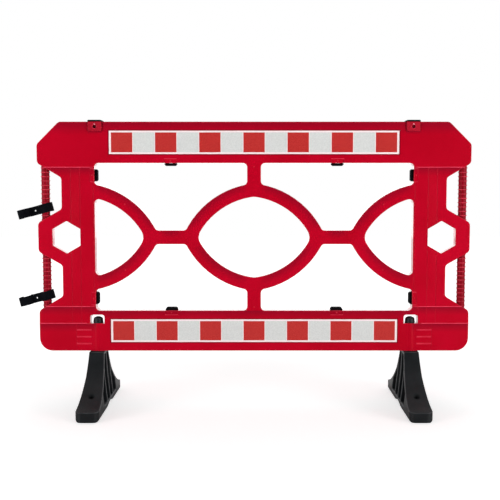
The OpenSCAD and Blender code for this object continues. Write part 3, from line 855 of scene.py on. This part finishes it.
# %% [markdown]
# ## Beads along the steps
# The posts step back in low stairs, and the mould leaves a thin bead along the brow of each step. The level brows
# on the posts catch the light as fine pale lines, the upright ribs hardly show, and the ridges on the blocks and
# round the clip seats lie between. So the brows and ridges get paler reds, painted highlights, and the ribs a red
# a shade darker than the panel, painted shade. The steps found on the half shells, and a few more lines on the
# lower blocks, become curves, and a small circle is swept along them, once for each finish. A bump in the
# material could draw them too, but the mesh wouldn't have them.

# %% Bead tree
brow_bead, add, given, made = new_tree(
    "brow_bead", [("Runs", "Geometry"), ("Radius", "Float"), ("Finish", "Material")])
brow = add("GeometryNodeMeshToCurve", {"Mesh": given["Runs"]})
bead_shape = add("GeometryNodeCurvePrimitiveCircle", {"Resolution": 10, "Radius": given["Radius"]})
bead = add("GeometryNodeCurveToMesh", {"Curve": brow, "Profile Curve": bead_shape, "Fill Caps": True})
end_tree(brow_bead, edge_marked(brow_bead, bead), given["Finish"], made)
print("tree:", brow_bead.name)

# %% Step beads
bead_radius = 1.2 * MM
bead_sink = 0.7 * MM
block_top = panel_z - 305 * MM
post_inside = 570 * MM
block_foot, block_brow, post_foot = -395, -301.5, -242.5
block_lines = [((621, block_foot), (621, block_brow), 21.0), ((572.5, post_foot), (602, post_foot), 20.2),
               ((602, post_foot), (602, block_brow), 20.2), ((634, post_foot), (634, block_brow), 20.2)]


def is_upright(places, run):
    way = places[run[1]] - places[run[0]]
    return abs(way.z) > abs(way.x)


def is_post_brow(places, run):
    middle = (places[run[0]] + places[run[1]]) / 2
    return middle.z > block_top and abs(middle.x - panel_x) > post_inside


for half, out in (("front", -1), ("rear", 1)):
    places, runs = step_lines[half]
    for side in (-1, 1):
        for start, end, level in block_lines:
            runs.append((len(places), len(places) + 1))
            places += [Vector((panel_x + side * x * MM, out * level * MM, panel_z + z * MM))
                       for x, z in (start, end)]
    places = [at - Vector((0, out * bead_sink, 0)) for at in places]
    ribs = [run for run in runs if is_upright(places, run)]
    brows = [run for run in runs if run not in ribs and is_post_brow(places, run)]
    ridges = [run for run in runs if run not in ribs and run not in brows]
    for name, chosen, finish in (
            ("rib_beads_", ribs, rib_shade_red), ("brow_beads_", brows, brow_highlight_red), ("ridge_beads_", ridges, highlight_red)):
        bead_values = {"Radius": bead_radius, "Finish": finish}
        piece = grown(brow_bead, name + half, bead_values, places, chosen)
        print(piece.name, len(chosen), "edges,", len(piece.data.polygons), "faces")

# %% [markdown]
# ## Ribbed hinge bars
# A bar is a round core with low ribs round it at a steady pitch, so a connector can't slide down it. One ring
# is a rounded trapezoid swept round a circle, and a line of points carries its copies along the core. A turned
# profile of the whole bar would need every rib drawn, and this way the pitch is one number.

# %% Bar tree
round_sides = 64
ribbed_bar, add, given, made = new_tree("ribbed_bar", [
    ("Length", "Float"), ("Core Radius", "Float"), ("Rib Height", "Float"), ("Rib Length", "Float"),
    ("Rib Pitch", "Float"), ("Rib Count", "Int"), ("Crest Radius", "Float"), ("Place", "Vector"),
    ("Finish", "Material")])
core = add("GeometryNodeMeshCylinder", {
    "Vertices": round_sides, "Radius": given["Core Radius"], "Depth": given["Length"]})
foot_width = math_node(ribbed_bar, "MULTIPLY", given["Rib Length"], 1.5)
crest_width = math_node(ribbed_bar, "MULTIPLY", given["Rib Length"], 0.5)
rib_depth = math_node(ribbed_bar, "MULTIPLY", given["Rib Height"], 2.0)
rib_shape = add("GeometryNodeCurvePrimitiveQuadrilateral", {
    "Bottom Width": foot_width, "Top Width": crest_width, "Height": rib_depth, "Offset": 0.0}, mode="TRAPEZOID")
rib_shape = add("GeometryNodeFilletCurve", {
    "Curve": rib_shape, "Radius": given["Crest Radius"], "Count": 3}, mode="POLY")
rib_path = add("GeometryNodeCurvePrimitiveCircle", {"Resolution": round_sides, "Radius": given["Core Radius"]})
rib = add("GeometryNodeCurveToMesh", {"Curve": rib_path, "Profile Curve": rib_shape})
rib_places = row_of(ribbed_bar, given["Rib Count"], given["Rib Pitch"], "Z")
ribs = add("GeometryNodeInstanceOnPoints", {"Points": rib_places, "Instance": rib})
ribs = add("GeometryNodeRealizeInstances", {"Geometry": ribs})
# The ribs carry the edge mark, so their crests take the pale edge tone: a painted highlight.
bar = add("GeometryNodeJoinGeometry", {"Geometry": [core, edge_marked(ribbed_bar, ribs)]})
bar = add("GeometryNodeTransform", {"Geometry": bar, "Translation": given["Place"]})
end_tree(ribbed_bar, bar, given["Finish"], made)
print("tree:", ribbed_bar.name)

# %% Hinge bars
rib_height = 1.4 * MM
rib_length = 4 * MM
rib_pitch = 15 * MM
crest_radius = 0.5 * MM
for side in ("left", "right"):
    low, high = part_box("hinge_bar_" + side)
    bar_length = high.z - low.z
    bar_radius = (high.x - low.x) / 2
    piece = grown(ribbed_bar, "ribbed_bar_" + side, {
        "Length": bar_length, "Core Radius": bar_radius - rib_height, "Rib Height": rib_height,
        "Rib Length": rib_length, "Rib Pitch": rib_pitch,
        "Rib Count": math.floor((bar_length - rib_length) / rib_pitch), "Crest Radius": crest_radius,
        "Place": (low + high) / 2, "Finish": bar_red})
    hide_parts("hinge_bar_" + side)
    print(piece.name, len(piece.data.polygons), "faces")

# %% [markdown]
# ## Reflective strips
# A strip is a pale film with thirteen printed squares of prismatic sheeting, red first and last. The film is the
# CAD solid with softened edges. The squares could be painted on by a material, but as thin tiles with round
# corners they have real edges. They sit on every second point of a row, once for the red ones and once for the
# white. The sheeting shows a fine lattice of prism cells, made as a node group that both colours use.

# %% Prism cells
prism_cells, given, made = new_group("prism_cells", [("Cell Size", 0.005)], ["Facet", "Line"])
here = prism_cells.nodes.new("ShaderNodeSeparateXYZ")
link(prism_cells, object_place(prism_cells), here.inputs[0])
cell_id = prism_cells.nodes.new("ShaderNodeCombineXYZ")
ridges = []
for axis, operation in (("X", "ADD"), ("Y", "SUBTRACT")):
    slant = math_node(prism_cells, operation, here.outputs["X"], here.outputs["Z"])
    cells = math_node(prism_cells, "DIVIDE", slant, given["Cell Size"])
    link(prism_cells, math_node(prism_cells, "FLOOR", cells, 0.0), cell_id.inputs[axis])
    ridges.append(math_node(prism_cells, "PINGPONG", cells, 0.5))
facet = prism_cells.nodes.new("ShaderNodeTexWhiteNoise")
link(prism_cells, cell_id.outputs[0], facet.inputs["Vector"])
link(prism_cells, facet.outputs["Value"], made["Facet"])
nearest = math_node(prism_cells, "MINIMUM", *ridges)
link(prism_cells, ramp(prism_cells, nearest, 0.03, 0.1, 1.0, 0.0), made["Line"])
print("effect:", prism_cells.name)

# %% Sheeting finishes
cell_size = 5 * MM
cell_relief = 0.1 * MM
sheeting_gloss = 0.12


def sheeting(name, tones, line_tone, roughness=(0.28, 0.4), bump=0.12):
    material, tree, shader = new_finish(name, sheeting_gloss)
    prisms = place_group(tree, prism_cells, Cell_Size=cell_size)
    film = place_group(tree, moulded_grain, Blotch_Scale=9, Grain_Scale=300)
    edges = place_group(tree, edge_wear_and_light_marks, Amount=0.4)
    colour = blend(tree, prisms["Facet"], *tones)
    colour = blend(tree, prisms["Line"], colour, line_tone)
    colour = blend(tree, edges["Mask"], colour, line_tone)
    link(tree, colour, shader.inputs["Base Color"])
    link(tree, ramp(tree, film["Blotch"], 0.0, 1.0, *roughness), shader.inputs["Roughness"])
    raised(tree, shader, prisms["Line"], bump, cell_relief)
    shader.inputs["Coat Weight"].default_value = 0.1
    shader.inputs["Coat Roughness"].default_value = 0.15
    return material


sheeting_red = sheeting(
    "sheeting_red", tones=((0.42, 0.017, 0.016), (0.48, 0.023, 0.021)), line_tone=(0.62, 0.055, 0.050))
sheeting_white = sheeting(
    "sheeting_white", tones=((0.62, 0.63, 0.615), (0.70, 0.71, 0.695)), line_tone=(0.60, 0.61, 0.60))
sheeting_film = sheeting(
    "sheeting_film", tones=((0.88, 0.74, 0.75), (0.93, 0.79, 0.80)), line_tone=(0.93, 0.79, 0.80),
    roughness=(0.3, 0.42), bump=0.05)
print("sheeting:", [m.name for m in (sheeting_red, sheeting_white, sheeting_film)])

# %% Square tree
sheeting_squares, add, given, made = new_tree("sheeting_squares", [
    ("Count", "Int"), ("First", "Int"), ("Pitch", "Float"), ("Width", "Float"), ("Height", "Float"),
    ("Thickness", "Float"), ("Corner", "Float"), ("Place", "Vector"), ("Turn", "Vector"), ("Finish", "Material")])
outline = add("GeometryNodeCurvePrimitiveQuadrilateral", {
    "Width": given["Width"], "Height": given["Height"]})
outline = add("GeometryNodeFilletCurve", {
    "Curve": outline, "Radius": given["Corner"], "Count": 4}, mode="POLY")
back = add("GeometryNodeFillCurve", {"Curve": outline}, mode="NGONS")
front = add("GeometryNodeExtrudeMesh", {
    "Mesh": back, "Offset Scale": given["Thickness"], "Individual": False})
back = add("GeometryNodeFlipFaces", {"Mesh": back})
tile = add("GeometryNodeJoinGeometry", {"Geometry": [front, back]})
tile = add("GeometryNodeMergeByDistance", {"Geometry": tile, "Distance": cut_reach})
row = row_of(sheeting_squares, given["Count"], given["Pitch"], "X")
number = add("GeometryNodeInputIndex", {})
every_second = math_node(
    sheeting_squares, "COMPARE", math_node(sheeting_squares, "MODULO", number, 2.0), given["First"])
squares = add("GeometryNodeInstanceOnPoints", {
    "Points": row, "Selection": every_second, "Instance": tile, "Rotation": (math.pi / 2, 0, 0)})
squares = add("GeometryNodeTransform", {
    "Geometry": squares, "Translation": given["Place"], "Rotation": given["Turn"]})
end_tree(sheeting_squares, squares, given["Finish"], made)
print("tree:", sheeting_squares.name)

# %% Strips and their squares
square_count = 13
film_border = 6 * MM
white_line = 2.4 * MM
square_thickness = 0.15 * MM
film_radius = 0.2 * MM
square_corner = 0.2 * MM
for face, turn in (("front", 0.0), ("rear", math.pi)):
    for level in ("upper", "lower"):
        node = f"strip_{face}_{level}"
        low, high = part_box(node)
        dress(node, f"film_{face}_{level}", film_radius, 1, sheeting_film, "panel")
        square_pitch = (high.x - low.x - 2 * film_border) / square_count
        outside = low.y if face == "front" else high.y
        for first, colour, finish in ((0, "red", sheeting_red), (1, "white", sheeting_white)):
            grown(sheeting_squares, f"squares_{colour}_{face}_{level}", {
                "Count": square_count, "First": first, "Pitch": square_pitch,
                "Width": square_pitch - white_line, "Height": high.z - low.z - 2 * film_border,
                "Thickness": square_thickness, "Corner": square_corner,
                "Place": Vector(((low.x + high.x) / 2, outside, (low.z + high.z) / 2)),
                "Turn": Vector((0, 0, turn)), "Finish": finish})
print("squares on a strip:", square_count, "pitch", round(square_pitch / MM, 2), "mm")

# %% [markdown]
# ## Nubs and gate marks
# In the seat beside each rim clip a small nub stands where the clip's edge snaps home, and the bands of the
# lattice show the low round marks where the plastic was fed into the mould. Spheres could be placed one by one,
# but both are shallow domes on a set of places, so one tree makes them at each size, half sunk in the wall.

# %% Dome tree
face_domes, add, given, made = new_tree("face_domes", [
    ("Places", "Geometry"), ("Radius", "Float"), ("Height", "Float"), ("Finish", "Material")])
dome = add("GeometryNodeMeshUVSphere", {"Segments": 20, "Rings": 10, "Radius": 1.0})
dome_size = add("ShaderNodeCombineXYZ", {
    "X": given["Radius"], "Y": given["Height"], "Z": given["Radius"]})
domes = add("GeometryNodeInstanceOnPoints", {
    "Points": given["Places"], "Instance": dome, "Scale": dome_size})
domes = add("GeometryNodeRealizeInstances", {"Geometry": domes})
end_tree(face_domes, edge_marked(face_domes, domes), given["Finish"], made)
print("tree:", face_domes.name)

# %% Nubs and gate marks
face_half = 21 * MM
seat_sink = 1.6 * MM
clip_cap = 9.8 * MM
nub_inset = clip_cap + 8 * MM
nub_places = []
for node in frame["nodes"]:
    if node.startswith("clip_"):
        _, rim, level, side = node.split("_")
        low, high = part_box(node)
        x, z = (low.x + high.x) / 2, (low.z + high.z) / 2
        if rim == "beam":
            z = low.z + nub_inset if level == "upper" else high.z - nub_inset
        else:
            x = high.x - nub_inset if side == "left" else low.x + nub_inset
        nub_places += [(x, out * (face_half - seat_sink), z) for out in (-1, 1)]
grown(face_domes, "clip_nubs",
      {"Radius": 3 * MM, "Height": 1.3 * MM, "Finish": panel_red}, nub_places)

arc_gate, stem_gate = (448, 114), (0, 244)
gate_places = [(panel_x + side * x * MM, out * face_half, panel_z + end * z * MM)
               for out in (-1, 1) for end in (-1, 1)
               for side, (x, z) in ((-1, arc_gate), (1, arc_gate), (1, stem_gate))]
grown(face_domes, "gate_marks",
      {"Radius": 2.6 * MM, "Height": 0.4 * MM, "Finish": panel_red}, gate_places)
print("nubs:", len(nub_places), "gate marks:", len(gate_places))

# %% [markdown]
# ## Bolt holes in the tabs
# Each tab has a bolt hole that looks dark, with a faint lip round it and a small pale nub above it. The lip and
# the nub are painted highlights in reds much paler than the panel. A thin skin in the shell's wall closes the way
# behind the hole, and its dark tone is painted shade that makes the hole look dark. Skins and nubs are domes of
# the same tree as before, and a lip is a bead along a ring of points.

# %% Bolt holes in the tabs
tab_holes = [Vector(m["pos_m"]) for name, m in mounts.items() if name.endswith("tab_hole")]
tab_face = abs(tab_low.y)
nub_rise = 8.6 * MM
grown(face_domes, "tab_nubs",
      {"Radius": 2.6 * MM, "Height": 1.2 * MM, "Finish": nub_highlight_red},
      [(at.x, math.copysign(tab_face, at.y), at.z + nub_rise) for at in tab_holes])
# The skins take the tab red with its near-black edge tone, painted shade that makes each hole look dark.
grown(face_domes, "hole_shade_skins",
      {"Radius": 6.5 * MM, "Height": 0.9 * MM, "Finish": tab_red},
      [(at.x, math.copysign(face_half - seat_sink, at.y), at.z) for at in tab_holes])

lip_radius = 7.3 * MM
lip_turns = 24
lip_points, lip_runs = [], []
for at in tab_holes:
    first = len(lip_points)
    for turn in range(lip_turns):
        angle = 2 * math.pi * turn / lip_turns
        lip_points.append((at.x + lip_radius * math.cos(angle), math.copysign(tab_face, at.y),
                           at.z + lip_radius * math.sin(angle)))
        lip_runs.append((first + turn, first + (turn + 1) % lip_turns))
# The lips take the pale highlight red: a painted highlight round each hole.
grown(brow_bead, "bolt_hole_lips",
      {"Radius": 0.7 * MM, "Finish": highlight_red}, lip_points, lip_runs)
print("tab holes:", len(tab_holes))
